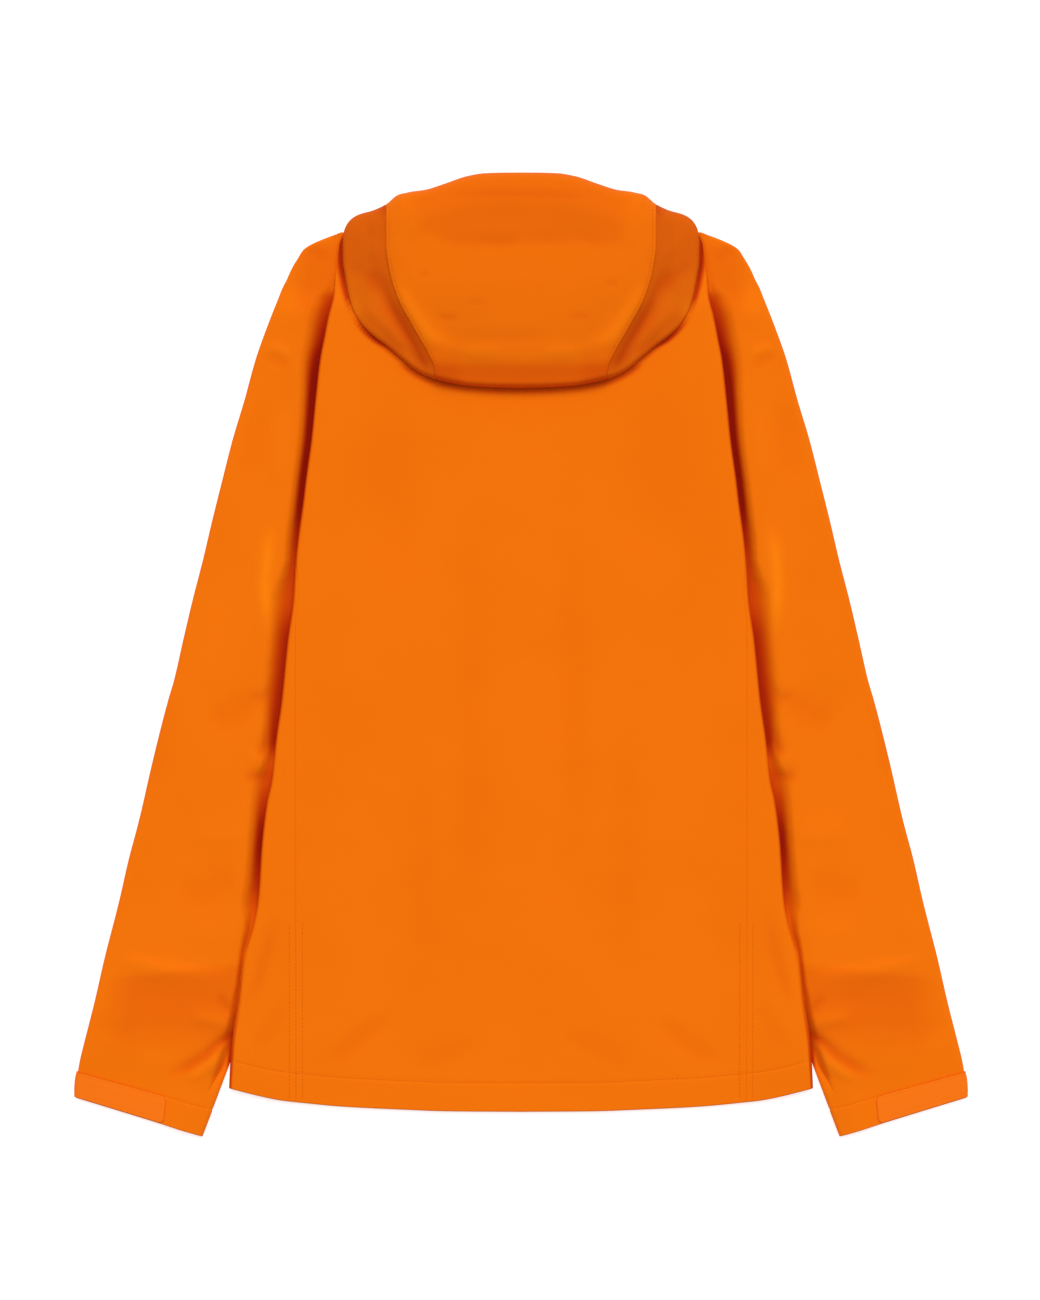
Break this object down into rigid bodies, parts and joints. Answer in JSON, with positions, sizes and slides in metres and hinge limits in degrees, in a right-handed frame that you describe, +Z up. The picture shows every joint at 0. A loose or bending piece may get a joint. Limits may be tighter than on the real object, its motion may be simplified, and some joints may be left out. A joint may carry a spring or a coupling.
{
  "type": "shell jacket",
  "caption": "Hooded shell jacket laid flat on its front, sleeves down at both sides, hood folded onto the back, cuff tabs, zip closed.",
  "frame": {"origin": "centre of the garment's outline, on the surface that it lies on", "axes": "+X to the right as the back is seen, +Y towards the hood, +Z up, away from the surface"},
  "size_m": [0.7684, 0.826, 0.0366],
  "materials": {
    "shell": "matt, fine woven",
    "hood_shell": "matt, fine woven",
    "tab_cloth": "matt, brushed",
    "zip_tape": "woven tape",
    "zip_metal": "satin"
  },
  "bodies": {
    "jacket": {"back": "shell", "side_left": "shell", "side_right": "shell", "front_left": "shell", "front_right": "shell", "sleeve_left": "shell", "sleeve_right": "shell", "collar": "shell", "hood_centre": "hood_shell", "hood_side_left": "hood_shell", "hood_side_right": "hood_shell", "hood_layers": "hood_shell", "cuff_tab_left": "tab_cloth", "cuff_tab_right": "tab_cloth", "zip_tape_left": "zip_tape", "zip_tape_right": "zip_tape", "zip_slider": "zip_metal"},
    "pull_tab": {"zip_pull": "zip_metal"}
  },
  "joints": [
    {"name": "zip_pull", "type": "hinge", "parent": "jacket", "child": "pull_tab", "pos_m": [0, 0.3825, 0.0011], "axis": [1, 0, 0], "range_deg": [0, 180]}
  ]
}
